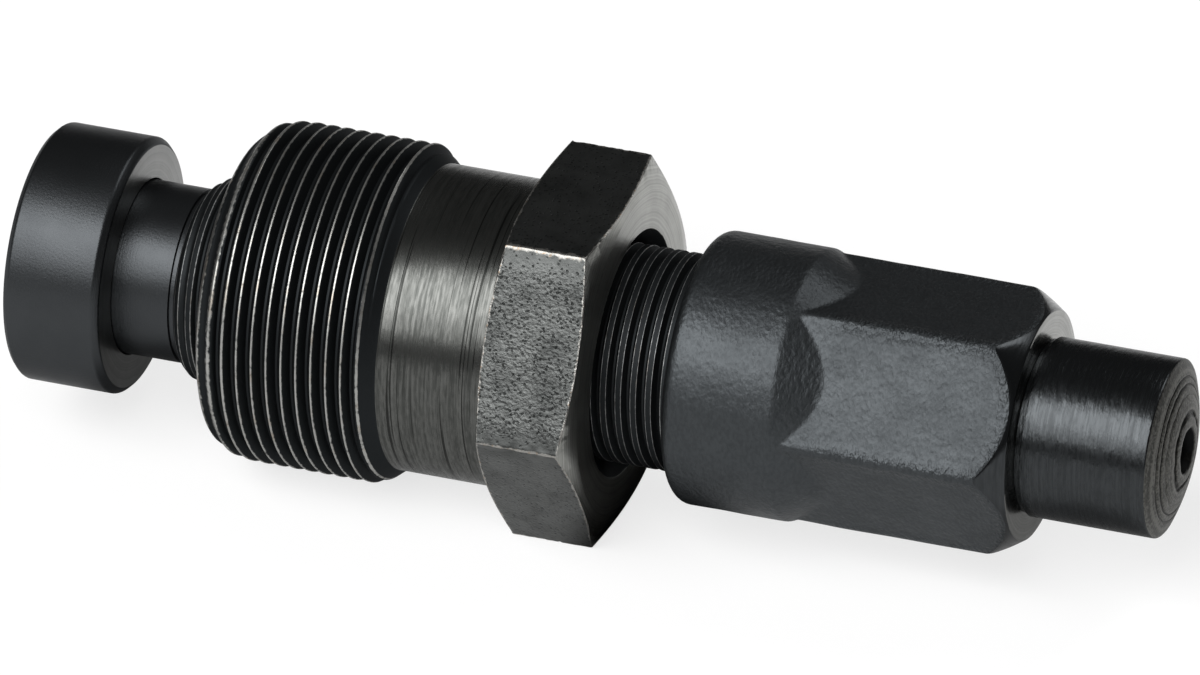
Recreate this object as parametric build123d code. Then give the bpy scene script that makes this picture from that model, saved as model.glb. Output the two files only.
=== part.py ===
from build123d import *
import math
import os

# Crank puller lying on one flat of its body hexagon, as it rests on a bench.
# The tool's axis runs along X, the press tip at -X and the drive stub at +X.
# Z = 0 is the bench and X = 0 the middle of the overall length. Sizes in mm, angles in degrees.

# Puller body, turned from hexagon bar
crank_thread_diameter = 22.0
crank_thread_pitch = 1.0
crank_thread_length = 10.95
crank_lead_length = 1.6
crank_lead_depth = 1.4
back_slope_length = 1.3
neck_relief = 1.1
neck_length = 7.1
body_hex_across_flats = 22.0
body_hex_thickness = 6.6
body_hex_face_diameter = 20.8
body_hex_chamfer_angle = 15.0
mouth_depth = 0.95
front_mouth_depth = 0.5

# Drive spindle, forged and turned in one piece
spindle_thread_diameter = 14.0
spindle_lead_length = 2.0
spindle_lead_depth = 1.25
nose_diameter = 11.3
collar_diameter = 17.6
collar_length = 7.3
collar_corner_radius = 0.9
shoulder_angle = 24.5
shoulder_radius = 1.0
drive_hex_across_flats = 15.0
drive_hex_corner_radius = 0.6
drive_end_length = 22.5
drive_hex_face_diameter = 14.8
drive_hex_cone_angle = 34.0
stub_diameter = 11.5
stub_length = 8.6
stub_crown_height = 1.15
stub_edge_radius = 0.2
stub_root_groove_width = 0.4
stub_root_groove_depth = 0.25
centre_hole_diameter = 2.4
centre_hole_depth = 4.5
centre_countersink_diameter = 2.8
centre_countersink_angle = 60.0

# Press tip, a cap that swivels on the nose
tip_length = 6.5
tip_floor = 2.2
tip_bevel = 0.4
nose_bevel = 0.4

# Split wire ring that keeps the tip on the nose
ring_wire_diameter = 0.8
ring_setback = 2.2
ring_split_angle = 28.0

# Thread form, as shares of the pitch, with flanks at half of 60 degrees
thread_crest_share = 0.125
thread_depth_share = 0.61
thread_flank_angle = 30.0

# Clearances
thread_clearance = 0.05
tip_clearance = 0.05
tip_entry_clearance = 2.65
tip_end_float = 0.1
ring_clearance = 0.1

# How far the turned cones reach past the hexagons' corners
cone_overshoot = 0.5

# How the pieces stand to each other as photographed
nose_showing = 4.15
lead_showing = 3.0
feed_gap = 4.75
spindle_rest_turn = -5.3

# The neck is relieved below the crank thread, and the tip enters the crank's threaded hole clear of it.
neck_diameter = crank_thread_diameter - 2 * neck_relief
tip_diameter = crank_thread_diameter - 2 * tip_entry_clearance

# Radii
crank_thread_radius = crank_thread_diameter / 2
spindle_thread_radius = spindle_thread_diameter / 2
bore_radius = spindle_thread_radius + thread_clearance
collar_radius = collar_diameter / 2
nose_radius = nose_diameter / 2
stub_radius = stub_diameter / 2
tip_radius = tip_diameter / 2
tip_bore_radius = nose_radius + tip_clearance
drive_face_radius = drive_hex_face_diameter / 2

# Stations along the axis, from the tip's face to the stub's end
body_length = crank_thread_length + back_slope_length + neck_length + body_hex_thickness
overall_length = (
    tip_length + nose_showing + lead_showing + body_length + feed_gap
    + drive_end_length + stub_length + stub_crown_height
)
tip_face_x = -overall_length / 2
tip_back_x = tip_face_x + tip_length
tip_floor_x = tip_face_x + tip_floor
nose_end_x = tip_floor_x + tip_end_float
ring_x = tip_back_x - ring_setback
spindle_lead_x = tip_back_x + nose_showing
spindle_thread_x = spindle_lead_x + spindle_lead_length
body_front_x = spindle_lead_x + lead_showing
crank_thread_back_x = body_front_x + crank_thread_length
neck_x = crank_thread_back_x + back_slope_length
body_hex_x = neck_x + neck_length
body_back_x = body_hex_x + body_hex_thickness
collar_x = body_back_x + feed_gap
shoulder_x = collar_x + collar_length
drive_hex_end_x = collar_x + drive_end_length
stub_edge_x = drive_hex_end_x + stub_length
stub_end_x = stub_edge_x + stub_crown_height

axis_height = max(body_hex_across_flats, crank_thread_diameter) / 2


def tangent(angle):
    return math.tan(math.radians(angle))


def turned(outline, rounded=()):
    """Solid of revolution about X from (x, radius) points; rounded lists (corner, radius) pairs."""
    section = make_face(Polyline(*outline, close=True))
    for corner, radius in rounded:
        section = fillet(section.vertices().sort_by_distance(corner)[0], radius)
    return revolve(section, Axis.X)


def corner_distance(across_flats):
    """Distance from a hexagon's centre to its sharp corners."""
    return across_flats / 2 / math.cos(math.radians(30))


def hexagon_bar(across_flats, start_x, end_x, corner_radius=0.0):
    """Hexagon bar along X with flats facing up and down."""
    section = Plane.YZ.offset(start_x) * RegularPolygon(corner_distance(across_flats), 6)
    if corner_radius:
        section = fillet(section.vertices(), corner_radius)
    return extrude(section, end_x - start_x, dir=(1, 0, 0))


def thread_rings(start_x, end_x, crest_radius, pitch):
    """Outline points of V rings one pitch apart, which stand for a thread's turns between two stations."""
    depth = thread_depth_share * pitch
    crest_half = thread_crest_share * pitch / 2
    root_half = pitch / 2 - crest_half - depth * tangent(thread_flank_angle)
    rings = int((end_x - start_x) / pitch)
    first_x = (start_x + end_x - rings * pitch) / 2
    outline = []
    for ring in range(rings):
        left_x = first_x + ring * pitch
        middle_x = left_x + pitch / 2
        outline += [
            (left_x + crest_half, crest_radius),
            (middle_x - root_half, crest_radius - depth),
            (middle_x + root_half, crest_radius - depth),
            (left_x + pitch - crest_half, crest_radius),
        ]
    return outline


def lifted(shape):
    """Raise a shape built about the X axis so that the tool lies on the bench."""
    return Pos(0, 0, axis_height) * shape


def puller_body():
    neck_radius = neck_diameter / 2
    face_radius = body_hex_face_diameter / 2
    lead_radius = crank_thread_radius - crank_lead_depth
    crank_thread_x = body_front_x + crank_lead_length
    shank = turned([
        (body_front_x, 0),
        (body_front_x, lead_radius),
        (crank_thread_x, crank_thread_radius),
        *thread_rings(crank_thread_x, crank_thread_back_x, crank_thread_radius, crank_thread_pitch),
        (crank_thread_back_x, crank_thread_radius),
        (neck_x, neck_radius),
        (body_back_x, neck_radius),
        (body_back_x, 0),
    ])
    # The chamfer cones on both faces of the hexagon cut its corners back.
    rim_radius = corner_distance(body_hex_across_flats) + cone_overshoot
    rim_setback = (rim_radius - face_radius) * tangent(body_hex_chamfer_angle)
    chamfer_cones = turned([
        (body_hex_x, 0),
        (body_hex_x, face_radius),
        (body_hex_x + rim_setback, rim_radius),
        (body_back_x - rim_setback, rim_radius),
        (body_back_x, face_radius),
        (body_back_x, 0),
    ])
    head = hexagon_bar(body_hex_across_flats, body_hex_x, body_back_x) & chamfer_cones
    bore = turned([
        (body_front_x, 0),
        (body_front_x, bore_radius + front_mouth_depth),
        (body_front_x + front_mouth_depth, bore_radius),
        (body_back_x - mouth_depth, bore_radius),
        (body_back_x, bore_radius + mouth_depth),
        (body_back_x, 0),
    ])
    return shank + head - bore


def crowned_stub(start_x):
    """Round stub with a domed end, centre-drilled; the dome's height is up to the drilling's rim."""
    countersink_radius = centre_countersink_diameter / 2
    hole_radius = centre_hole_diameter / 2
    countersink_depth = (countersink_radius - hole_radius) / tangent(centre_countersink_angle / 2)
    rise = (stub_radius**2 - countersink_radius**2 - stub_crown_height**2) / (2 * stub_crown_height)
    crown_centre_x = stub_edge_x - rise
    crown_radius = math.hypot(rise, stub_radius)
    half_turn = math.atan2(stub_radius, rise) / 2
    edge = (stub_edge_x, stub_radius)
    halfway = (
        crown_centre_x + crown_radius * math.cos(half_turn),
        crown_radius * math.sin(half_turn),
    )
    top = (crown_centre_x + crown_radius, 0)
    sides = Polyline(top, (start_x, 0), (start_x, stub_radius), edge)
    section = make_face([*sides.edges(), ThreePointArc(edge, halfway, top)])
    section = fillet(section.vertices().sort_by_distance(edge)[0], stub_edge_radius)
    hole_end_x = stub_end_x - centre_hole_depth
    drilling = turned([
        (hole_end_x, 0),
        (hole_end_x, hole_radius),
        (stub_end_x - countersink_depth, hole_radius),
        (stub_end_x, countersink_radius),
        (stub_end_x + stub_crown_height, countersink_radius),
        (stub_end_x + stub_crown_height, 0),
    ])
    return revolve(section, Axis.X) - drilling


def drive_spindle():
    groove_bottom = nose_radius - ring_wire_diameter / 2 - ring_clearance
    groove_half_width = ring_wire_diameter / 2 + ring_clearance
    lead_radius = spindle_thread_radius - spindle_lead_depth
    root_radius = stub_radius - stub_root_groove_depth
    root_groove_x = drive_hex_end_x + stub_root_groove_width
    shoulder_end_x = shoulder_x + (collar_radius - root_radius) / tangent(shoulder_angle)
    corner_radius = min(collar_corner_radius, 0.95 * (collar_radius - spindle_thread_radius))
    turned_core = turned(
        [
            (nose_end_x, 0),
            (nose_end_x, nose_radius - nose_bevel),
            (nose_end_x + nose_bevel, nose_radius),
            (ring_x - groove_half_width, nose_radius),
            (ring_x - groove_half_width, groove_bottom),
            (ring_x + groove_half_width, groove_bottom),
            (ring_x + groove_half_width, nose_radius),
            (spindle_lead_x, nose_radius),
            (spindle_lead_x, lead_radius),
            (spindle_thread_x, spindle_thread_radius),
            (collar_x, spindle_thread_radius),
            (collar_x, collar_radius),
            (shoulder_x, collar_radius),
            (shoulder_end_x, root_radius),
            (root_groove_x, root_radius),
            (root_groove_x, 0),
        ],
        rounded=[
            ((collar_x, collar_radius), corner_radius),
            ((shoulder_x, collar_radius), shoulder_radius),
        ],
    )
    # The hexagon starts inside the collar and ends in a turned cone.
    bar_start_x = (collar_x + shoulder_x) / 2
    bar = hexagon_bar(drive_hex_across_flats, bar_start_x, drive_hex_end_x, drive_hex_corner_radius)
    rim_radius = corner_distance(drive_hex_across_flats) + cone_overshoot
    rim_x = drive_hex_end_x - (rim_radius - drive_face_radius) / tangent(drive_hex_cone_angle)
    end_cone = turned([
        (bar_start_x, 0),
        (bar_start_x, rim_radius),
        (rim_x, rim_radius),
        (drive_hex_end_x, drive_face_radius),
        (drive_hex_end_x, 0),
    ])
    head = (Rot(spindle_rest_turn, 0, 0) * bar) & end_cone
    return turned_core + head + crowned_stub(root_groove_x)


def press_tip():
    groove_radius = nose_radius + ring_wire_diameter / 2 + ring_clearance
    groove_half_width = ring_wire_diameter / 2 + ring_clearance
    return turned([
        (tip_face_x, 0),
        (tip_face_x, tip_radius - tip_bevel),
        (tip_face_x + tip_bevel, tip_radius),
        (tip_back_x - tip_bevel, tip_radius),
        (tip_back_x, tip_radius - tip_bevel),
        (tip_back_x, tip_bore_radius),
        (ring_x + groove_half_width, tip_bore_radius),
        (ring_x + groove_half_width, groove_radius),
        (ring_x - groove_half_width, groove_radius),
        (ring_x - groove_half_width, tip_bore_radius),
        (tip_floor_x, tip_bore_radius),
        (tip_floor_x, 0),
    ])


def tip_snap_ring():
    wire = Pos(ring_x, nose_radius) * Circle(ring_wire_diameter / 2)
    return revolve(wire, Axis.X, 360 - ring_split_angle)


os.makedirs("parts", exist_ok=True)
for make_piece in (puller_body, drive_spindle, press_tip, tip_snap_ring):
    piece = lifted(make_piece())
    export_step(piece, "parts/" + make_piece.__name__ + ".step")
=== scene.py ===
import math

import bmesh
import bpy
from mathutils import Matrix, Quaternion, Vector, noise


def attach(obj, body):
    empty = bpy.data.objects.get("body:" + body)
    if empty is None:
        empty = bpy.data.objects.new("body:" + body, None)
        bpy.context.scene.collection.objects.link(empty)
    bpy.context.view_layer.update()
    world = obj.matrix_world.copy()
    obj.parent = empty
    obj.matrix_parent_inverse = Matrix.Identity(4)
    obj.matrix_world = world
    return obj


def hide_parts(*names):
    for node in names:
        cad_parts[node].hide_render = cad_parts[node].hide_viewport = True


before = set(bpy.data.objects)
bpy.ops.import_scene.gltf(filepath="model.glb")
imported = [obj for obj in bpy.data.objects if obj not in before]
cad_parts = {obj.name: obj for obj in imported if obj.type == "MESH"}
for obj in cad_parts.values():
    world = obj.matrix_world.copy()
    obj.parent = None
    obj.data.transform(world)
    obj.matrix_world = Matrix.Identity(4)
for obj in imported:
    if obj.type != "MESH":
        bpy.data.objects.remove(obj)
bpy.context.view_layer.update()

# Pieces are shaped in millimetres about the tool's axis, with X = 0 at the middle of the tool,
# and set in the frame at the end. Angles round the axis are in degrees, from straight up to the front.
MM = 0.001
AXIS_HEIGHT = 11.0
ROUND_STEPS = 216
CRANK_STEPS = 144
SPINDLE_STEPS = 120
BORE_STEPS = 96
PITCH = 1.0

# Stations along the axis
TIP_FACE = -38.3
TIP_FLOOR = -36.1
NOSE_END = -36.0
RING = -34.0
TIP_BACK = -31.8
SPINDLE_LEAD = -27.65
BODY_FRONT = -24.65
CRANK_BACK = -13.7
NECK = -12.4
HEX_LEFT = -5.3
BODY_BACK = 1.3
COLLAR = 6.05
SHOULDER = 13.35
HEX_END = 28.55
STUB_EDGE = 37.15
STUB_END = 38.3

# Radii
CRANK_CREST = 11.0
CRANK_GROOVE = 10.39
CRANK_LEAD = 9.6
NECK_RADIUS = 9.9
BODY_FLAT = 11.0
BODY_CORNER = 0.18
HEX_FACE = 10.4
MOUTH = 8.0
FRONT_MOUTH = 7.55
BORE_GROOVE = 7.05
BORE_CREST = 6.66
SPINDLE_CREST = 7.0
SPINDLE_GROOVE = 6.55
SPINDLE_LEAD_RADIUS = 5.7
NOSE_RADIUS = 5.65
COLLAR_RADIUS = 8.8
COLLAR_CORNER = 0.9
SHOULDER_ROUND = 0.9
SHOULDER_ANGLE = math.radians(24.5)
DRIVE_FLAT = 7.5
DRIVE_CORNER = 0.6
DRIVE_TURN = -5.3
DRIVE_FACE = 7.4
END_ANGLE = math.radians(34.0)
END_BLEND = 0.25
STUB_ROOT = 5.5
STUB_RADIUS = 5.75
CENTRE_MOUTH = 1.4
CENTRE_HOLE = 1.2
TIP_RADIUS = 8.35
TIP_BORE = 5.7

# Small edges, and the grooves of the snap ring and of the stub's root
SOFT_EDGE = 0.06
BEVEL = 0.4
RING_GROOVE_HALF = 0.5
NOSE_GROOVE = 5.15
TIP_GROOVE = 6.2
ROOT_GROOVE = 0.4
HOLE_DEPTH = 4.5

# Crest lines pass these points straight above the axis.
CRANK_CREST_AT = 0.4
SPINDLE_CREST_AT = -0.425

# One thread turn, from the middle of a groove to the next: (share of the pitch, share of the height)
CRANK_TOOTH = [
    (0.0, 0.0), (0.07, 0.0), (0.165, 0.25), (0.26, 0.5), (0.355, 0.75), (0.425, 0.93),
    (0.455, 1.0), (0.5, 1.0), (0.545, 1.0),
    (0.575, 0.93), (0.645, 0.75), (0.74, 0.5), (0.835, 0.25), (0.93, 0.0), (1.0, 0.0),
]
SPINDLE_TOOTH = [
    (0.0, 0.0), (0.06, 0.0), (0.15, 0.33), (0.24, 0.7), (0.285, 0.92),
    (0.31, 1.0), (0.36, 1.0), (0.42, 1.0), (0.5, 1.0), (0.58, 1.0), (0.64, 1.0), (0.69, 1.0),
    (0.715, 0.92), (0.76, 0.7), (0.85, 0.33), (0.94, 0.0), (1.0, 0.0),
]
BORE_TOOTH = [
    (0.0, 0.0), (0.02, 0.0), (0.14, 0.5), (0.26, 1.0), (0.5, 1.0),
    (0.74, 1.0), (0.86, 0.5), (0.98, 0.0), (1.0, 0.0),
]


def everything(bm):
    return bm.verts[:] + bm.edges[:] + bm.faces[:]


def radius_of(vert):
    return math.hypot(vert.co.y, vert.co.z)


def angle_of(vert):
    """Degrees round the axis from straight up towards the front."""
    return math.degrees(math.atan2(-vert.co.y, vert.co.z))


def set_radius(vert, radius):
    scale = radius / max(radius_of(vert), 1e-9)
    vert.co.y *= scale
    vert.co.z *= scale


def line_at(stations, x):
    """Radius at x on a line of (x, radius) stations, its end slopes carried on."""
    spans = list(zip(stations, stations[1:]))
    for (x0, r0), (x1, r1) in spans:
        if x <= x1:
            break
    return r0 + (r1 - r0) * (x - x0) / (x1 - x0)


def ease(low, high, value):
    share = min(max((value - low) / (high - low), 0.0), 1.0)
    return share * share * (3.0 - 2.0 * share)


def soft_min(a, b, blend):
    overlap = max(blend - abs(a - b), 0.0) / blend
    return min(a, b) - overlap * overlap * blend / 4.0


def soft_max(a, b, blend):
    return -soft_min(-a, -b, blend)


def outline(bm, points, rounds=()):
    """Line of edges through (x, radius) points above the axis; rounds lists (point number, size)."""
    verts = [bm.verts.new((x, 0.0, radius)) for x, radius in points]
    for pair in zip(verts, verts[1:]):
        bm.edges.new(pair)
    for number, size in rounds:
        bmesh.ops.bevel(
            bm, geom=[verts[number]], offset=size, offset_type="OFFSET", affect="VERTICES",
            segments=4, profile=0.5, material=-1,
        )


def turned(points, rounds=(), steps=ROUND_STEPS):
    """Surface turned once round the axis from an outline."""
    bm = bmesh.new()
    outline(bm, points, rounds)
    bmesh.ops.spin(
        bm, geom=everything(bm), cent=(0, 0, 0), axis=(1, 0, 0), dvec=(0, 0, 0),
        angle=2.0 * math.pi, steps=steps, use_merge=True, use_duplicate=False,
    )
    bmesh.ops.remove_doubles(bm, verts=bm.verts[:], dist=1e-5)
    return bm


def screwed(tooth, groove, crest, crest_at, start, end, steps):
    """Helical thread surface that covers start to end all the way round."""
    bm = bmesh.new()
    first = start - PITCH - (start - crest_at + PITCH / 2) % PITCH
    outline(bm, [(first + along * PITCH, groove + up * (crest - groove)) for along, up in tooth])
    bmesh.ops.spin(
        bm, geom=everything(bm), cent=(0, 0, 0), axis=(1, 0, 0), dvec=(PITCH / steps, 0, 0),
        angle=2.0 * math.pi, steps=steps, use_merge=False, use_duplicate=False,
    )
    one_turn = everything(bm)
    for number in range(math.ceil((end - first) / PITCH)):
        copy = bmesh.ops.duplicate(bm, geom=one_turn)["geom"]
        moved = [part for part in copy if isinstance(part, bmesh.types.BMVert)]
        bmesh.ops.translate(bm, vec=((number + 1) * PITCH, 0, 0), verts=moved)
    bmesh.ops.remove_doubles(bm, verts=bm.verts[:], dist=1e-4)
    return bm


def cut(bm, x, keep_right):
    """Slice across the axis and keep one side."""
    bmesh.ops.bisect_plane(
        bm, geom=everything(bm), dist=1e-3, plane_co=(x, 0, 0), plane_no=(1, 0, 0),
        clear_inner=keep_right, clear_outer=not keep_right,
    )


def rim(bm, x):
    """Open edges that lie across the axis at x."""
    return [e for e in bm.edges if e.is_boundary and all(abs(v.co.x - x) < 2e-3 for v in e.verts)]


def join(bm, *stations):
    """Bridge the two open rims that lie at these stations."""
    bmesh.ops.bridge_loops(bm, edges=[edge for x in stations for edge in rim(bm, x)])


def gathered(*shells):
    """One bmesh holding all the shells."""
    whole = bmesh.new()
    for shell in shells:
        mesh = bpy.data.meshes.new("shell")
        shell.to_mesh(mesh)
        shell.free()
        whole.from_mesh(mesh)
        bpy.data.meshes.remove(mesh)
    return whole


def crowded_to_corners(angle, power):
    """Move an angle round the axis towards the nearest hexagon corner."""
    flat_middle = 60.0 * round(angle / 60.0)
    share = (angle - flat_middle) / 30.0
    return flat_middle + math.copysign(30.0 * (1.0 - (1.0 - min(abs(share), 1.0)) ** power), share)


def off_middle(angle):
    """Radians from the middle of the nearest flat of a hexagon."""
    return math.radians(abs((angle + 30.0) % 60.0 - 30.0))


def to_corner(flat, angle):
    """Distance along a hexagon's flat to its nearest corner."""
    return flat * (math.tan(math.radians(30.0)) - math.tan(off_middle(angle)))


def hexagon_radius(flat, corner, angle):
    """Distance from the axis to a hexagon with rounded corners."""
    aside = off_middle(angle)
    half = math.radians(30.0)
    if math.tan(aside) <= (flat - corner) * math.tan(half) / flat:
        return flat / math.cos(aside)
    centre = (flat - corner) / math.cos(half)
    off = half - aside
    return centre * math.cos(off) + math.sqrt(max(corner ** 2 - (centre * math.sin(off)) ** 2, 0.0))


def ringed(rows, place):
    """Tube of rings round the axis; place(row, angle) gives each point's x, radius and angle."""
    bm = turned([(float(row), 1.0) for row in range(rows)])
    for vert in bm.verts:
        row = round(vert.co.x)
        x, radius, angle = place(row, angle_of(vert))
        turn = math.radians(angle)
        vert.co = (x, -radius * math.sin(turn), radius * math.cos(turn))
    bmesh.ops.remove_doubles(bm, verts=bm.verts[:], dist=1e-5)
    return bm


def thread_share(vert, crest_at):
    """How far a point lies to the right of the nearest crest line, as a share of the pitch."""
    return (vert.co.x - crest_at - PITCH * angle_of(vert) / 360.0 + 0.5) % 1.0 - 0.5


# Puller body
BACK_CUT = NECK - 0.495
BORE_CUT = BODY_BACK - 0.12
CRANK_LEAD_GROOVE = 0.22
CRANK_FULL = BODY_FRONT + 2.7
crank_envelope = [
    (BODY_FRONT, CRANK_LEAD), (BODY_FRONT + 0.3, 10.1), (BODY_FRONT + 0.65, 10.45),
    (BODY_FRONT + 1.2, 10.76), (BODY_FRONT + 2.0, 10.94), (CRANK_FULL, CRANK_CREST),
    (CRANK_BACK, CRANK_CREST), (NECK, NECK_RADIUS),
]
bore_envelope = [
    (BODY_FRONT, FRONT_MOUTH), (BODY_FRONT + FRONT_MOUTH - BORE_GROOVE, BORE_GROOVE),
    (BODY_BACK - MOUTH + BORE_GROOVE, BORE_GROOVE), (BODY_BACK, MOUTH),
]


def crank_thread():
    bm = screwed(
        CRANK_TOOTH, CRANK_GROOVE, CRANK_CREST, CRANK_CREST_AT, BODY_FRONT, BACK_CUT, CRANK_STEPS)
    for vert in bm.verts:
        radius = radius_of(vert)
        height = (radius - CRANK_GROOVE) / (CRANK_CREST - CRANK_GROOVE)
        limit = line_at(crank_envelope, vert.co.x)
        if vert.co.x < CRANK_FULL:
            limit -= CRANK_LEAD_GROOVE * (1.0 - height)
        set_radius(vert, min(radius, limit))
    cut(bm, BODY_FRONT, True)
    cut(bm, BACK_CUT, False)
    return bm


def bore_thread():
    bm = screwed(
        BORE_TOOTH, BORE_CREST, BORE_GROOVE, SPINDLE_CREST_AT, BODY_FRONT, BORE_CUT, BORE_STEPS)
    for vert in bm.verts:
        limit = line_at(bore_envelope, vert.co.x)
        if limit > BORE_GROOVE:
            set_radius(vert, max(radius_of(vert), limit))
    cut(bm, BODY_FRONT, True)
    cut(bm, BORE_CUT, False)
    return bm


HEX_CHAMFER = math.tan(math.radians(15.0))
NECK_START = BACK_CUT + 0.06
neck_rows = [
    (NECK_START, line_at(crank_envelope, NECK_START)), (NECK - 0.06, NECK_RADIUS + 0.05),
    (NECK, NECK_RADIUS + 0.012), (NECK + 0.05, NECK_RADIUS), (-9.0, NECK_RADIUS), (-7.0, NECK_RADIUS),
    (HEX_LEFT - 0.1, NECK_RADIUS), (HEX_LEFT - 0.02, NECK_RADIUS + 0.015),
    (HEX_LEFT, NECK_RADIUS + SOFT_EDGE), (HEX_LEFT, HEX_FACE - SOFT_EDGE),
]
# Distance in from each chamfer edge, over the flat
edge_rows = [0.05, 0.11, 0.2, 0.38, 0.8]
mouth_rows = [
    (BODY_BACK, HEX_FACE - SOFT_EDGE), (BODY_BACK, 9.7), (BODY_BACK, 9.0), (BODY_BACK, 8.4),
    (BODY_BACK, MOUTH + 0.05), (BODY_BACK - 0.01, MOUTH + 0.015), (BODY_BACK - 0.05, MOUTH - 0.05),
]
# Rows over a chamfer, as shares of the way from the face out to the hexagon
chamfer_shares = [0.0, 0.5, 0.95]
CHAMFER_ROWS = len(chamfer_shares)
MIDDLE_ROWS = 21
FLAT_ROWS = 2 * len(edge_rows) + MIDDLE_ROWS
# How strongly points crowd to the corners, and the small round beside the chamfer edges
BODY_CROWDING = 2.0
EDGE_ROUND = 0.05
EDGE_SLOPE = 0.6
# Depth of the knocks on the edges, and how far out the long edges' knocks start and are full
KNOCK_DEPTH = 0.09
NICK_DEPTH = 0.05
KNOCK_FROM = 12.45
KNOCK_FULL = 12.62


def chipped(x, angle):
    """Small knocks along the hexagon's edges, in mm."""
    turn = math.radians(angle)
    spot = Vector((x, BODY_FLAT * math.sin(turn), BODY_FLAT * math.cos(turn)))
    knock = max(noise.noise(spot * 1.9) - 0.05, 0.0)
    nick = max(noise.noise(spot * 5.3), 0.0)
    return KNOCK_DEPTH * knock + NICK_DEPTH * nick


def body_head_point(row, angle):
    angle = crowded_to_corners(angle, BODY_CROWDING)
    if row < len(neck_rows):
        x, radius = neck_rows[row]
        return x, radius, angle
    row -= len(neck_rows)
    reach = hexagon_radius(BODY_FLAT, BODY_CORNER, angle)
    drop = (reach - HEX_FACE) * HEX_CHAMFER
    if row < CHAMFER_ROWS:
        share = chamfer_shares[row]
        return HEX_LEFT + drop * share, HEX_FACE + (reach - HEX_FACE) * share, angle
    row -= CHAMFER_ROWS
    left, right = HEX_LEFT + drop, BODY_BACK - drop
    if row < FLAT_ROWS:
        if row < len(edge_rows):
            x = left + edge_rows[row]
        elif row >= FLAT_ROWS - len(edge_rows):
            x = right - edge_rows[FLAT_ROWS - 1 - row]
        else:
            share = (row - len(edge_rows) + 1) / (MIDDLE_ROWS + 1)
            x = left + edge_rows[-1] + (right - left - 2 * edge_rows[-1]) * share
        near = min(x - left, right - x)
        knock = chipped(x, angle) * max(ease(0.25, 0.05, near), ease(KNOCK_FROM, KNOCK_FULL, reach))
        return x, reach - max(EDGE_ROUND - near, 0.0) * EDGE_SLOPE - knock, angle
    row -= FLAT_ROWS
    if row < CHAMFER_ROWS:
        share = chamfer_shares[CHAMFER_ROWS - 1 - row]
        return BODY_BACK - drop * share, HEX_FACE + (reach - HEX_FACE) * share, angle
    x, radius = mouth_rows[row - CHAMFER_ROWS]
    return x, radius, angle


# How much each long edge of the hexagon is worn, by its angle round the axis
EDGE_WEAR = {30: 1.4, 90: 0.6, 150: 0.8, 210: 1.0, 270: 0.7, 330: 1.2}
EDGE_WEAR_WIDTH = 0.5
CHAMFER_WEAR_FALL = 1.7


def body_edge_wear(vert):
    """1 on the hexagon's edges, falling to 0 a little way in."""
    angle = angle_of(vert)
    reach = hexagon_radius(BODY_FLAT, BODY_CORNER, angle)
    drop = (reach - HEX_FACE) * HEX_CHAMFER
    if radius_of(vert) < HEX_FACE + 0.05:
        return 0.0
    from_corner = to_corner(BODY_FLAT, angle)
    from_chamfer = min(abs(vert.co.x - HEX_LEFT - drop), abs(BODY_BACK - drop - vert.co.x))
    if radius_of(vert) < reach - 0.2:
        from_corner = 1.0
    edge = 60.0 * math.floor(angle / 60.0) + 30.0
    from_corner /= EDGE_WEAR[round(edge) % 360]
    return 1.0 - min(from_corner, CHAMFER_WEAR_FALL * from_chamfer, EDGE_WEAR_WIDTH) / EDGE_WEAR_WIDTH


# How deeply each flat of the hexagon is pitted, by its angle round the axis
FLAT_PITTING = {0: 0.2, 60: 1.0, 120: 0.5, 180: 0.6, 240: 0.8, 300: 0.7}


def body_pitting(vert):
    """The pitting in the middle of the hexagon's flats, falling to 0 beside their long edges."""
    angle = angle_of(vert)
    from_corner = to_corner(BODY_FLAT, angle)
    flat = 60 * math.floor((angle + 30.0) / 60.0)
    return FLAT_PITTING[flat % 360] * ease(0.3, 1.7, from_corner)


# Drive spindle
THREAD_END = COLLAR - 0.08
SPINDLE_LEAD_GROOVE = 0.2
SPINDLE_FULL = SPINDLE_LEAD + 2.9
spindle_envelope = [
    (SPINDLE_LEAD, SPINDLE_LEAD_RADIUS), (SPINDLE_LEAD + 0.35, 6.15), (SPINDLE_LEAD + 0.75, 6.5),
    (SPINDLE_LEAD + 1.6, 6.82), (SPINDLE_FULL, SPINDLE_CREST), (COLLAR, SPINDLE_CREST),
]


def spindle_thread():
    bm = screwed(
        SPINDLE_TOOTH, SPINDLE_GROOVE, SPINDLE_CREST, SPINDLE_CREST_AT,
        SPINDLE_LEAD, THREAD_END, SPINDLE_STEPS)
    depth = SPINDLE_CREST - SPINDLE_GROOVE
    for vert in bm.verts:
        radius = radius_of(vert)
        height = (radius - SPINDLE_GROOVE) / depth
        limit = line_at(spindle_envelope, vert.co.x)
        if vert.co.x < SPINDLE_FULL:
            limit -= SPINDLE_LEAD_GROOVE * (1.0 - height)
        runout = ease(COLLAR - 0.2, COLLAR - 0.9, vert.co.x)
        set_radius(vert, min(SPINDLE_CREST - (1.0 - height) * depth * runout, limit))
    cut(bm, SPINDLE_LEAD, True)
    cut(bm, THREAD_END, False)
    return bm


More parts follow.
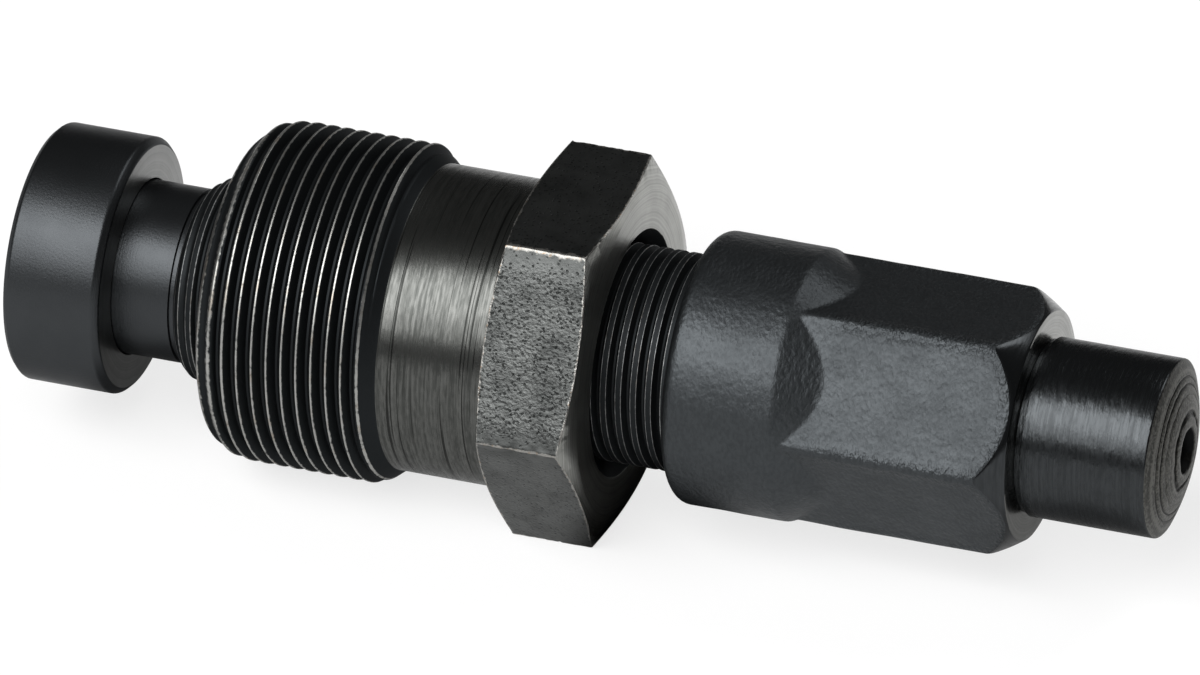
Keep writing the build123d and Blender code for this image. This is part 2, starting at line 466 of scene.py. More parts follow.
NOSE_START = SPINDLE_LEAD - 0.02
nose_outline = [
    (NOSE_START, SPINDLE_LEAD_RADIUS - 0.2), (NOSE_START - 0.25, NOSE_RADIUS - 0.14),
    (NOSE_START - 0.32, NOSE_RADIUS), (RING + RING_GROOVE_HALF, NOSE_RADIUS),
    (RING + RING_GROOVE_HALF, NOSE_GROOVE), (RING - RING_GROOVE_HALF, NOSE_GROOVE),
    (RING - RING_GROOVE_HALF, NOSE_RADIUS), (NOSE_END + BEVEL, NOSE_RADIUS),
    (NOSE_END, NOSE_RADIUS - BEVEL), (NOSE_END, 3.0), (NOSE_END, 0.0),
]
ARC_ROWS = 8
collar_rows = [(COLLAR, SPINDLE_CREST + 0.03)] + [
    (
        COLLAR + COLLAR_CORNER * (1.0 - math.cos(math.radians(90.0 * step / ARC_ROWS))),
        COLLAR_RADIUS - COLLAR_CORNER * (1.0 - math.sin(math.radians(90.0 * step / ARC_ROWS))),
    )
    for step in range(ARC_ROWS + 1)
]
SHOULDER_START = SHOULDER - SHOULDER_ROUND * math.tan(SHOULDER_ANGLE / 2.0)
COLLAR_ROWS = 14
crease_rows = [SHOULDER + step for step in (-0.3, -0.22, -0.15, -0.09, -0.03, 0.03, 0.09, 0.15, 0.21)]
# Rows down the shoulder as shares of its length, then on along the flat in mm
shoulder_shares = [0.25, 0.45, 0.62, 0.76, 0.87, 0.95, 1.0]
flat_steps = [0.05, 0.12, 0.22, 0.36, 0.6, 0.95]
DRIVE_ROWS = 22
# Rows back along the flat in mm, then down the end cone as shares of its length
end_steps = [0.8, 0.5, 0.3, 0.18, 0.09, 0.03]
end_shares = [0.0, 0.06, 0.14, 0.3, 0.5, 0.7, 0.86, 0.96]
end_rows = [
    (HEX_END, DRIVE_FACE - 0.03), (HEX_END, 6.9), (HEX_END, 6.2), (HEX_END, STUB_ROOT + SOFT_EDGE),
    (HEX_END + 0.03, STUB_ROOT), (HEX_END + ROOT_GROOVE - 0.03, STUB_ROOT),
    (HEX_END + ROOT_GROOVE, STUB_ROOT + 0.03), (HEX_END + ROOT_GROOVE, STUB_RADIUS - 0.05),
    (HEX_END + ROOT_GROOVE + 0.05, STUB_RADIUS), (31.5, STUB_RADIUS), (33.5, STUB_RADIUS),
    (35.5, STUB_RADIUS), (STUB_EDGE - 0.13, STUB_RADIUS), (STUB_EDGE - 0.06, STUB_RADIUS - 0.012),
    (STUB_EDGE - 0.01, STUB_RADIUS - 0.05),
]
# Domed end of the stub: (radius, depth of the turning marks below the dome)
crown_rows = [
    (5.62, 0.0), (5.45, 0.0), (5.25, 0.0), (5.05, 0.0), (4.80, 0.0),
    (4.71, 0.02), (4.63, 0.08), (4.55, 0.04), (4.45, 0.0), (4.34, 0.0),
    (4.25, 0.03), (4.17, 0.11), (4.09, 0.05), (3.98, 0.0), (3.72, 0.0),
    (3.63, 0.03), (3.56, 0.06), (3.48, 0.02), (3.38, 0.0), (3.05, 0.0), (2.72, 0.0),
    (2.56, 0.03), (2.45, 0.15), (2.34, 0.18), (2.23, 0.08), (2.12, 0.01),
    (1.95, 0.0), (1.75, 0.0), (1.58, 0.03), (1.46, 0.12),
]
hole_rows = [
    (STUB_END - 0.5, 1.28), (STUB_END - 1.0, CENTRE_HOLE), (STUB_END - HOLE_DEPTH + 0.4, CENTRE_HOLE),
    (STUB_END - HOLE_DEPTH, CENTRE_HOLE / 2.0), (STUB_END - HOLE_DEPTH, 0.0),
]
MARK_DEPTH = 0.1
CROWN_HEIGHT = STUB_END - STUB_EDGE
CROWN_RISE = (STUB_RADIUS ** 2 - CENTRE_MOUTH ** 2 - CROWN_HEIGHT ** 2) / (2.0 * CROWN_HEIGHT)
CROWN_RADIUS = math.hypot(CROWN_RISE, STUB_RADIUS)
# Runs of rows along the drive head, and how many rows each has
drive_runs = {
    "corner": len(collar_rows), "collar": COLLAR_ROWS, "crease": len(crease_rows),
    "shoulder": len(shoulder_shares), "flat start": len(flat_steps), "flat": DRIVE_ROWS,
    "flat end": len(end_steps), "cone": len(end_shares), "stub": len(end_rows),
    "crown": len(crown_rows), "hole": len(hole_rows),
}
# How strongly points crowd to the drive hexagon's corners, and how softly the shoulder meets its flats
DRIVE_CROWDING = 1.6
SHOULDER_BLEND = 0.12
# Lengths within which the shoulder and the end cone meet the hexagon, and halvings to find where
SHOULDER_REACH = 6.0
CONE_REACH = 2.6
HALVINGS = 40
# Unevenness of the forging, and how far the turning marks on the crown stray, in mm
FORGED_SWELL = 0.03
FORGED_RIPPLE = 0.012
FORGED_SINK = 0.01
SLOW_WANDER = 0.1
TIGHT_WANDER = 0.04
LOOSE_WANDER = 0.14


def shoulder_radius(x):
    """Collar, its rounded back and the cone that runs down into the flats."""
    along = x - SHOULDER_START
    if along <= 0.0:
        return COLLAR_RADIUS
    arc_end = SHOULDER_ROUND * math.sin(SHOULDER_ANGLE)
    if along < arc_end:
        return COLLAR_RADIUS - SHOULDER_ROUND + math.sqrt(SHOULDER_ROUND ** 2 - along ** 2)
    arc_drop = SHOULDER_ROUND * (1.0 - math.cos(SHOULDER_ANGLE))
    return COLLAR_RADIUS - arc_drop - (along - arc_end) * math.tan(SHOULDER_ANGLE)


def end_radius(x):
    """Cone that cuts the hexagon's corners back."""
    return DRIVE_FACE + (HEX_END - x) * math.tan(END_ANGLE)


def where(radius_at, reach, start, end):
    """Station between start and end where a falling radius comes down to reach."""
    low, high = start, end
    for _ in range(HALVINGS):
        middle = (low + high) / 2.0
        if radius_at(middle) > reach:
            low = middle
        else:
            high = middle
    return low


def forged(x, angle):
    """Slight unevenness of the forging, in mm."""
    turn = math.radians(angle)
    spot = Vector((x * 0.35, 3.0 * math.sin(turn), 3.0 * math.cos(turn)))
    return FORGED_SWELL * noise.noise(spot) + FORGED_RIPPLE * noise.noise(spot * 3.1)


def drive_station(run, row, reach):
    """Where along the axis a row of the drive head lies, for this distance out to the hexagon."""
    meets = where(shoulder_radius, reach, SHOULDER, SHOULDER + SHOULDER_REACH)
    cone_at = where(end_radius, reach, HEX_END - CONE_REACH, HEX_END)
    collar_end = COLLAR + COLLAR_CORNER
    flat_start, flat_end = meets + flat_steps[-1], cone_at - end_steps[0]
    if run == "collar":
        return collar_end + (crease_rows[0] - collar_end) * (row + 1) / (COLLAR_ROWS + 1)
    if run == "crease":
        return crease_rows[row]
    if run == "shoulder":
        return crease_rows[-1] + (meets - crease_rows[-1]) * shoulder_shares[row]
    if run == "flat start":
        return meets + flat_steps[row]
    if run == "flat":
        return flat_start + (flat_end - flat_start) * (row + 1) / (DRIVE_ROWS + 1)
    if run == "flat end":
        return cone_at - end_steps[row]
    return cone_at + (HEX_END - cone_at) * end_shares[row]


def facing_wander(radius, angle):
    """How far the turning marks stray from true circles, in mm."""
    turn = math.radians(angle)
    slow = Vector((math.sin(turn), math.cos(turn), 0.12 * radius))
    quick = Vector((radius * math.sin(turn), radius * math.cos(turn), radius))
    loose = ease(5.2, 2.0, radius) * ease(1.4, 1.7, radius)
    inside = ease(5.6, 4.9, radius)
    quick_wander = (TIGHT_WANDER + LOOSE_WANDER * loose) * noise.noise(quick * 1.4)
    return inside * (SLOW_WANDER * noise.noise(slow * 1.3) + quick_wander)


def crown_x(radius):
    """Where the stub's domed end lies at this radius, up to the drilling's rim."""
    return min(STUB_EDGE - CROWN_RISE + math.sqrt(CROWN_RADIUS ** 2 - radius ** 2), STUB_END)


def drive_point(row, angle):
    angle = crowded_to_corners(angle, DRIVE_CROWDING) + DRIVE_TURN
    for run, rows in drive_runs.items():
        if row < rows:
            break
        row -= rows
    if run == "corner":
        return (*collar_rows[row], angle)
    if run == "stub":
        return (*end_rows[row], angle)
    if run == "crown":
        radius, depth = crown_rows[row]
        radius += facing_wander(radius, angle)
        return crown_x(radius) - depth, radius, angle
    if run == "hole":
        return (*hole_rows[row], angle)
    reach = hexagon_radius(DRIVE_FLAT, DRIVE_CORNER, angle - DRIVE_TURN)
    x = drive_station(run, row, reach)
    hexagon = soft_min(reach, end_radius(x), END_BLEND)
    radius = soft_max(shoulder_radius(x), hexagon, SHOULDER_BLEND)
    collar_end = COLLAR + COLLAR_CORNER
    fade = ease(collar_end, collar_end + 1.5, x) * ease(HEX_END - 0.2, HEX_END - 2.0, x)
    return x, radius + (forged(x, angle) - FORGED_SINK) * fade, angle


# Press tip
tip_outline = [
    (TIP_FACE, 0.0), (TIP_FACE, 4.0), (TIP_FACE, TIP_RADIUS - BEVEL), (TIP_FACE + BEVEL, TIP_RADIUS),
    (TIP_BACK - BEVEL, TIP_RADIUS), (TIP_BACK, TIP_RADIUS - BEVEL), (TIP_BACK, TIP_BORE + SOFT_EDGE),
    (TIP_BACK - SOFT_EDGE, TIP_BORE), (RING + RING_GROOVE_HALF, TIP_BORE),
    (RING + RING_GROOVE_HALF, TIP_GROOVE), (RING - RING_GROOVE_HALF, TIP_GROOVE),
    (RING - RING_GROOVE_HALF, TIP_BORE), (TIP_FLOOR, TIP_BORE), (TIP_FLOOR, 3.0), (TIP_FLOOR, 0.0),
]


# Finishes
def set_sockets(tree, node, sockets):
    """Put a value, or a link from another node, on each of these sockets."""
    for name, value in sockets.items():
        if isinstance(value, bpy.types.NodeSocket):
            tree.links.new(value, node.inputs[name])
        else:
            node.inputs[name].default_value = value


def add(tree, kind, settings=(), sockets=()):
    """Shader node with its settings, and with values or links on its sockets."""
    node = tree.nodes.new("ShaderNode" + kind)
    for name, value in dict(settings).items():
        setattr(node, name, value)
    set_sockets(tree, node, dict(sockets))
    return node


def place_on_tool(tree, stretch=(1.0, 1.0, 1.0)):
    """Position in mm from the tool's axis, stretched along X, Y and Z."""
    spot = add(tree, "TexCoord").outputs["Object"]
    scale = tuple(s / MM for s in stretch)
    shift = (0.0, 0.0, -AXIS_HEIGHT * stretch[2])
    sockets = {"Vector": spot, "Scale": scale, "Location": shift}
    return add(tree, "Mapping", {}, sockets).outputs["Vector"]


def speckle(tree, spot, scale, detail=3.0, rough=0.55):
    sockets = {"Vector": spot, "Scale": scale, "Detail": detail, "Roughness": rough}
    return add(tree, "TexNoise", {}, sockets).outputs["Fac"]


def sums(tree, operation, first, second, third=0.5):
    node = add(tree, "Math", {"operation": operation}, {0: first, 1: second, 2: third})
    return node.outputs[0]


def ranged(tree, value, low, high, out_low, out_high, smooth=True):
    kind = "SMOOTHSTEP" if smooth else "LINEAR"
    sockets = {"Value": value, "From Min": low, "From Max": high, "To Min": out_low, "To Max": out_high}
    return add(tree, "MapRange", {"interpolation_type": kind}, sockets).outputs["Result"]


def colours(tree, share, first, second):
    sockets = {0: share, 6: first, 7: second}
    node = add(tree, "Mix", {"data_type": "RGBA"}, sockets)
    return node.outputs[2]


def tint(colour):
    return (*colour, 1.0)


def grey(value):
    return tint((value, value, value))


def painted(tree, name):
    """The values that a piece carries under this name."""
    return add(tree, "Attribute", {"attribute_name": name}).outputs["Fac"]


def weighed(tree, first, second, share):
    """This share of the first value and the rest of the second."""
    rest = sums(tree, "MULTIPLY", second, 1.0 - share)
    return sums(tree, "ADD", sums(tree, "MULTIPLY", first, share), rest)


def worn_share(tree, spot, start, full, scale, strength):
    """Ragged cover of the worn edges, from the piece's own wear values."""
    wear = painted(tree, "worn")
    chips = speckle(tree, spot, scale, detail=4.0, rough=0.65)
    broken = sums(tree, "MULTIPLY_ADD", chips, strength, wear)
    return ranged(tree, broken, start + strength * 0.5, full + strength * 0.5, 0.0, 1.0)


def new_finish(name):
    material = bpy.data.materials.new(name)
    material.use_nodes = True
    tree = material.node_tree
    return material, tree, tree.nodes["Principled BSDF"]


def dress(tree, shader, colour, roughness, height, depth, edge_on=1.0):
    """Metal with bump of this depth in mm, and with this share of its light seen edge-on."""
    bump = add(tree, "Bump", {}, {"Height": height, "Distance": depth * MM, "Strength": 1.0})
    set_sockets(tree, shader, {
        "Base Color": colour, "Roughness": roughness, "Metallic": 1.0,
        "Specular Tint": grey(edge_on), "Normal": bump.outputs["Normal"],
    })


def thread_finish(name, oxide, bare, wear_from, wear_full, edge_on, dull, bright):
    """Black flanks with the crests rubbed bright in broken lines."""
    material, tree, shader = new_finish(name)
    spot = place_on_tool(tree)
    worn = worn_share(tree, spot, wear_from, wear_full, 2.6, 0.6)
    blotch = speckle(tree, spot, scale=0.7)
    rust = (bare[0] * 0.8, bare[1] * 0.62, bare[2] * 0.45)
    stained = colours(tree, ranged(tree, blotch, 0.52, 0.72, 0.0, 0.45), tint(bare), tint(rust))
    colour = colours(tree, worn, tint(oxide), stained)
    roughness = ranged(tree, worn, 0.0, 1.0, dull, bright)
    grit = speckle(tree, spot, scale=9.0)
    dress(tree, shader, colour, roughness, grit, 0.006, edge_on)
    return material


def turned_finish(name, dark, pale, roughness, depth, contrast, scoring, ragged, edge_on):
    """Tool marks that run round the axis: broad rings, fine lines, short flecks and thin dark scores."""
    material, tree, shader = new_finish(name)
    rings = speckle(tree, place_on_tool(tree, (3.4, 0.02, 0.02)), scale=1.0, detail=3.0, rough=0.6)
    fine = speckle(tree, place_on_tool(tree, (9.0, 0.14, 0.14)), scale=1.0, detail=3.0, rough=0.65)
    flecks = speckle(tree, place_on_tool(tree, (6.0, 1.2, 1.2)), scale=1.0, detail=2.0, rough=0.5)
    scores = speckle(tree, place_on_tool(tree, (5.2, 0.05, 0.05)), scale=1.0, detail=1.0, rough=0.5)
    patches = speckle(tree, place_on_tool(tree, (2.4, 0.9, 0.9)), scale=1.0, detail=3.0, rough=0.6)
    lines = weighed(tree, rings, fine, 0.5)
    marks = weighed(tree, lines, flecks, 0.7)
    streaks = ranged(tree, marks, 0.5 - contrast, 0.5 + contrast, 0.0, 1.0)
    scored = ranged(tree, scores, 0.31, 0.35, scoring, 0.0)
    streaked = colours(tree, streaks, tint(dark), tint(pale))
    colour = colours(tree, scored, streaked, tint(tuple(0.3 * part for part in dark)))
    polish = ranged(tree, marks, 0.35, 0.65, roughness * 1.25, roughness * 0.8)
    height = sums(tree, "MULTIPLY_ADD", patches, ragged, marks)
    dress(tree, shader, colour, polish, height, depth, edge_on)
    return material


def bar_finish(name, dark, pale, bare):
    """Rolled hexagon bar, closely pitted, its edges knocked bright here and there."""
    material, tree, shader = new_finish(name)
    spot = place_on_tool(tree)
    stir = add(tree, "TexNoise", {}, {"Vector": spot, "Scale": 2.2, "Detail": 2.0}).outputs["Color"]
    sockets = {0: stir, 1: (0.3, 0.3, 0.3), 2: spot}
    stirred = add(tree, "VectorMath", {"operation": "MULTIPLY_ADD"}, sockets).outputs["Vector"]
    cells = add(tree, "TexVoronoi", {"feature": "F1"}, {"Vector": stirred, "Scale": 3.4})
    pits = ranged(tree, cells.outputs["Distance"], 0.12, 0.36, 0.0, 1.0)
    grain = speckle(tree, spot, scale=4.2, detail=2.0, rough=0.5)
    relief = sums(tree, "MULTIPLY_ADD", pits, 0.6, grain)
    deep = painted(tree, "pitted")
    height = sums(tree, "MULTIPLY", relief, ranged(tree, deep, 0.0, 1.0, 0.15, 1.0, False))
    patch = speckle(tree, spot, scale=0.5)
    tone = sums(tree, "ADD", sums(tree, "MULTIPLY", pits, 0.4), patch)
    colour = colours(tree, ranged(tree, tone, 0.45, 1.1, 0.0, 1.0), tint(dark), tint(pale))
    worn = worn_share(tree, spot, 0.58, 0.86, 2.4, 1.3)
    rust = (bare[0] * 0.9, bare[1] * 0.62, bare[2] * 0.4)
    stained = colours(tree, ranged(tree, grain, 0.58, 0.68, 0.0, 0.7), tint(bare), tint(rust))
    colour = colours(tree, worn, colour, stained)
    polish = ranged(tree, worn, 0.0, 1.0, 0.33, 0.38)
    dress(tree, shader, colour, polish, height, depth=0.052, edge_on=0.75)
    return material


def faced_finish(name, dark, pale, roughness, depth, spacing, grain_share, groove_shade):
    """Turned face with rings about the axis, with painted shade darkening its deep marks."""
    material, tree, shader = new_finish(name)
    across = place_on_tool(tree, (0.0, 1.0, 1.0))
    out = add(tree, "VectorMath", {"operation": "LENGTH"}, {0: across}).outputs["Value"]
    wander = sums(tree, "MULTIPLY", speckle(tree, across, scale=0.25, detail=2.0), 0.4)
    sockets = {"W": sums(tree, "ADD", out, wander), "Scale": spacing, "Detail": 4.0, "Roughness": 0.65}
    ring_noise = add(tree, "TexNoise", {"noise_dimensions": "1D"}, sockets).outputs["Fac"]
    blotch = speckle(tree, across, scale=0.5)
    grain = speckle(tree, place_on_tool(tree), scale=5.0)
    tone = weighed(tree, ring_noise, blotch, 0.7)
    tone = sums(tree, "MULTIPLY_ADD", sums(tree, "SUBTRACT", grain, 0.5), grain_share, tone)
    colour = colours(tree, ranged(tree, tone, 0.35, 0.65, 0.0, 1.0), tint(dark), tint(pale))
    deep = painted(tree, "pitted")
    # Painted shade: the colour darkens towards near black with the depth of the turning marks.
    painted_groove_shade = ranged(tree, deep, 0.25, 0.8, 0.0, groove_shade)
    colour = colours(tree, painted_groove_shade, colour, tint(tuple(0.2 * part for part in dark)))
    height = sums(tree, "MULTIPLY_ADD", grain, grain_share, ring_noise)
    dress(tree, shader, colour, roughness, height, depth)
    return material


def forged_finish(name, dark, pale, roughness, depth):
    """Blasted forging under oxide: a close wrinkled skin."""
    material, tree, shader = new_finish(name)
    spot = place_on_tool(tree)
    wrinkle = speckle(tree, place_on_tool(tree, (1.0, 0.6, 0.6)), scale=4.6, detail=2.0, rough=0.5)
    swell = speckle(tree, spot, scale=1.1, detail=2.0, rough=0.5)
    rough_edge = painted(tree, "pitted")
    wrinkled = sums(tree, "MULTIPLY", wrinkle, ranged(tree, rough_edge, 0.0, 1.0, 0.5, 1.5, False))
    height = sums(tree, "MULTIPLY_ADD", swell, 0.5, wrinkled)
    patch = speckle(tree, spot, scale=0.4, detail=4.0, rough=0.6)
    tone = weighed(tree, wrinkle, patch, 0.7)
    colour = colours(tree, ranged(tree, tone, 0.35, 0.65, 0.0, 1.0), tint(dark), tint(pale))
    polish = ranged(tree, patch, 0.3, 0.7, roughness * 1.06, roughness * 0.94)
    dress(tree, shader, colour, polish, height, depth, edge_on=0.8)
    return material


def satin_finish(name, dark, pale, roughness):
    """Smooth oxide with a fine grain and faint lines round the axis."""
    material, tree, shader = new_finish(name)
    spot = place_on_tool(tree)
    grain = speckle(tree, spot, scale=6.5, detail=3.0, rough=0.6)
    lines = speckle(tree, place_on_tool(tree, (14.0, 0.06, 0.06)), scale=1.0, detail=3.0, rough=0.6)
    patch = speckle(tree, spot, scale=0.25)
    height = weighed(tree, grain, lines, 0.6)
    colour = colours(tree, ranged(tree, patch, 0.35, 0.65, 0.0, 1.0), tint(dark), tint(pale))
    polish = ranged(tree, patch, 0.3, 0.7, roughness * 1.05, roughness * 0.95)
    dress(tree, shader, colour, polish, height, depth=0.02, edge_on=0.55)
    return material


crank_thread_oxide = thread_finish(
    "crank_thread_oxide", oxide=(0.02, 0.0222, 0.0236), bare=(0.34, 0.34, 0.326),
    wear_from=0.8, wear_full=1.0, edge_on=0.5, dull=0.56, bright=0.4)
spindle_thread_oxide = thread_finish(
    "spindle_thread_oxide", oxide=(0.021, 0.0232, 0.0245), bare=(0.31, 0.314, 0.314),
    wear_from=0.7, wear_full=1.0, edge_on=0.5, dull=0.6, bright=0.5)
neck_steel = turned_finish(
    "neck_steel", dark=(0.048, 0.05, 0.0471), pale=(0.1, 0.1016, 0.0968),
    roughness=0.26, depth=0.013, contrast=0.12, scoring=0.85, ragged=0.9, edge_on=0.6)
stub_steel = turned_finish(
    "stub_steel", dark=(0.0305, 0.0328, 0.0345), pale=(0.0445, 0.0478, 0.0502),
    roughness=0.26, depth=0.018, contrast=0.16, scoring=0.0, ragged=2.4, edge_on=0.6)
cone_oxide = turned_finish(
    "cone_oxide", dark=(0.0305, 0.0328, 0.0345), pale=(0.0445, 0.0478, 0.0502),
    roughness=0.22, depth=0.008, contrast=0.16, scoring=0.0, ragged=0.6, edge_on=1.0)
ring_wire = turned_finish(
    "ring_wire", dark=(0.25, 0.25, 0.25), pale=(0.35, 0.35, 0.35),
    roughness=0.35, depth=0.002, contrast=0.14, scoring=0.0, ragged=0.0, edge_on=1.0)
bar_steel = bar_finish(
    "bar_steel", dark=(0.028, 0.0297, 0.0289), pale=(0.08, 0.0832, 0.0812), bare=(0.27, 0.264, 0.248))
faced_steel = faced_finish(
    "faced_steel", dark=(0.207, 0.209, 0.196), pale=(0.32, 0.322, 0.303),
    roughness=0.32, depth=0.006, spacing=6.0, grain_share=0.0, groove_shade=0.0)
end_face_steel = faced_finish(
    "end_face_steel", dark=(0.143, 0.144, 0.136), pale=(0.224, 0.226, 0.214),
    roughness=0.2, depth=0.006, spacing=6.0, grain_share=0.0, groove_shade=0.0)
stub_face_steel = faced_finish(
    "stub_face_steel", dark=(0.034, 0.0338, 0.031), pale=(0.1, 0.099, 0.091),
    roughness=0.5, depth=0.03, spacing=2.6, grain_share=0.9, groove_shade=0.9)
tip_face_oxide = faced_finish(
    "tip_face_oxide", dark=(0.033, 0.0353, 0.0373), pale=(0.062, 0.066, 0.0695),
    roughness=0.38, depth=0.012, spacing=2.6, grain_share=0.25, groove_shade=0.0)
tip_back_steel = faced_finish(
    "tip_back_steel", dark=(0.12, 0.1225, 0.12), pale=(0.176, 0.178, 0.174),
    roughness=0.3, depth=0.008, spacing=3.0, grain_share=0.1, groove_shade=0.0)
forged_oxide = forged_finish(
    "forged_oxide", dark=(0.0436, 0.0475, 0.0504), pale=(0.0534, 0.0582, 0.0616),
    roughness=0.46, depth=0.09)
# Lining of the centre hole: oxide made near black as painted shade deep in the hole.
hole_oxide_and_shade = satin_finish(
    "hole_oxide_and_shade", dark=(0.009, 0.0095, 0.0095), pale=(0.012, 0.0125, 0.0125), roughness=0.6)
tip_oxide = satin_finish(
    "tip_oxide", dark=(0.0435, 0.0465, 0.0492), pale=(0.0465, 0.0496, 0.0524), roughness=0.37)


SHARP_ANGLE = math.radians(33.0)


def set_in_frame(bm, name, finishes, zone, wear=None, pitting=None):
    """Finish a shell: outward faces, its finishes, wear and pitting, and its place in the frame."""
    bmesh.ops.recalc_face_normals(bm, faces=bm.faces[:])
    worn = bm.verts.layers.float.new("worn")
    pitted = bm.verts.layers.float.new("pitted")
    for vert in bm.verts:
        vert[worn] = wear(vert) if wear else 0.0
        vert[pitted] = pitting(vert) if pitting else 0.0
    bm.normal_update()
    for face in bm.faces:
        face.material_index = finishes.index(zone(face))
    in_metres = Matrix.Translation((0.0, 0.0, AXIS_HEIGHT * MM)) @ Matrix.Scale(MM, 4)
    bmesh.ops.transform(bm, matrix=in_metres, verts=bm.verts[:])
    mesh = bpy.data.meshes.new(name)
    bm.to_mesh(mesh)
    bm.free()
    for finish in finishes:
        mesh.materials.append(finish)
    mesh.shade_smooth()
    mesh.set_sharp_from_angle(angle=SHARP_ANGLE)
    piece = bpy.data.objects.new(name, mesh)
    bpy.context.scene.collection.objects.link(piece)
    return piece


def out_from_axis(face):
    spot = face.calc_center_median()
    return math.hypot(spot.y, spot.z)


def body_zone(face):
    spot = face.calc_center_median()
    out = out_from_axis(face)
    if out < MOUTH + 0.03 and spot.x > BODY_FRONT + 0.01:
        return spindle_thread_oxide
    if abs(face.normal.x) > 0.7 and (spot.x < BODY_FRONT + 0.05 or spot.x > HEX_LEFT - 0.05):
        return faced_steel
    if spot.x < NECK - 0.03:
        return crank_thread_oxide
    if spot.x < HEX_LEFT + 0.001:
        return neck_steel
    return bar_steel if out > HEX_FACE else faced_steel


# Worn line on a flank: its strength, and its distance from the crest and half width in pitches
FLANK_WEAR = 0.8
FLANK_ASIDE = 0.24
FLANK_HALF = 0.06
# How far down from a crest the wear reaches, in mm, and how much further on the first crests
CREST_WEAR = 0.3
LEAD_WEAR = 0.15
# Worn line of the last crest on the back slope: where it ends and where it is full, in pitches
LAST_CREST_END = 0.16
LAST_CREST_FULL = 0.05


def body_wear(vert):
    radius = radius_of(vert)
    if radius > 9.0 and vert.co.x < NECK - 0.03:
        limit = min(line_at(crank_envelope, min(vert.co.x, CRANK_BACK)), CRANK_CREST)
        reach = CREST_WEAR + LEAD_WEAR * ease(BODY_FRONT + 1.9, BODY_FRONT + 0.4, vert.co.x)
        crest = 1.0 - min(max(limit - radius, 0.0) / reach, 1.0)
        beside = thread_share(vert, CRANK_CREST_AT)
        if vert.co.x > CRANK_BACK:
            last_crest = ease(LAST_CREST_END, LAST_CREST_FULL, abs(beside))
            return last_crest * ease(CRANK_GROOVE, CRANK_GROOVE + 0.2, radius)
        flank = 1.0 - min(abs(beside + FLANK_ASIDE) / FLANK_HALF, 1.0)
        return max(crest, FLANK_WEAR * flank)
    if vert.co.x > HEX_LEFT - 0.01:
        return body_edge_wear(vert)
    return 0.0


body = gathered(crank_thread(), bore_thread(), ringed(
    len(neck_rows) + CHAMFER_ROWS + FLAT_ROWS + CHAMFER_ROWS + len(mouth_rows), body_head_point))
join(body, BACK_CUT, NECK_START)
join(body, BORE_CUT, mouth_rows[-1][0])
join(body, BODY_FRONT)
threaded_body = set_in_frame(
    body, "threaded_body",
    [crank_thread_oxide, neck_steel, bar_steel, faced_steel, spindle_thread_oxide],
    body_zone, body_wear, body_pitting)
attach(threaded_body, "body")
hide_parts("puller_body")


def spindle_zone(face):
    spot = face.calc_center_median()
    if spot.x < SPINDLE_LEAD - 0.01:
        return tip_oxide
    if spot.x < COLLAR - 0.01:
        return spindle_thread_oxide
    if spot.x < HEX_END - 0.005:
        on_cone = spot.x > HEX_END - 3.0 and face.normal.x > 0.3
        return cone_oxide if on_cone else forged_oxide
    if spot.x < HEX_END + 0.01:
        return end_face_steel
    if out_from_axis(face) < CENTRE_MOUTH:
        return hole_oxide_and_shade
    return stub_face_steel if spot.x > STUB_EDGE else stub_steel


# Depth of the wear on the spindle's crests in mm, and how much less their middle is worn than their edges
SPINDLE_WEAR = 0.12
SPINDLE_MIDDLE = 0.8


def spindle_wear(vert):
    if not SPINDLE_LEAD <= vert.co.x <= COLLAR:
        return 0.0
    limit = min(line_at(spindle_envelope, vert.co.x), SPINDLE_CREST)
    deep = min(max(limit - radius_of(vert), 0.0) / SPINDLE_WEAR, 1.0)
    flat = ease(0.185, 0.1, abs(thread_share(vert, SPINDLE_CREST_AT)))
    return (1.0 - deep) * (1.0 - SPINDLE_MIDDLE * flat)


def spindle_pitting(vert):
    """Depth in the turning marks on the stub's domed end, and roughness beside the hexagon's edges."""
    x = vert.co.x
    if x > STUB_EDGE:
        return min(max(crown_x(radius_of(vert)) - x, 0.0) / MARK_DEPTH, 1.0)
    from_corner = to_corner(DRIVE_FLAT, angle_of(vert) - DRIVE_TURN)
    from_end = (HEX_END - x) * math.tan(END_ANGLE) - (radius_of(vert) - DRIVE_FACE)
    near = max(ease(1.1, 0.2, from_corner), ease(0.7, 0.0, from_end))
    return near * ease(SHOULDER + 1.5, SHOULDER + 4.0, x) * ease(HEX_END + 0.01, HEX_END - 0.01, x)


spindle = gathered(turned(nose_outline), spindle_thread(), ringed(sum(drive_runs.values()), drive_point))
join(spindle, NOSE_START, SPINDLE_LEAD)
join(spindle, THREAD_END, COLLAR)
hex_spindle = set_in_frame(
    spindle, "hex_spindle",
    [
        tip_oxide, spindle_thread_oxide, forged_oxide, cone_oxide, end_face_steel,
        stub_steel, stub_face_steel, hole_oxide_and_shade,
    ],
    spindle_zone, spindle_wear, spindle_pitting)
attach(hex_spindle, "spindle")
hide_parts("drive_spindle")


def tip_zone(face):
    x = face.calc_center_median().x
    if x > TIP_BACK - 0.01:
        return tip_back_steel
    return tip_face_oxide if x < TIP_FACE + 0.01 else tip_oxide


TIP_ROUND = 0.12
tip_rounds = [(number, TIP_ROUND) for number in (2, 3, 4, 5)]
swivel_tip = set_in_frame(
    turned(tip_outline, tip_rounds), "swivel_tip", [tip_oxide, tip_face_oxide, tip_back_steel], tip_zone)
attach(swivel_tip, "tip")
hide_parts("press_tip")

snap_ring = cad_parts["tip_snap_ring"]
snap_ring.data.materials.clear()
snap_ring.data.materials.append(ring_wire)

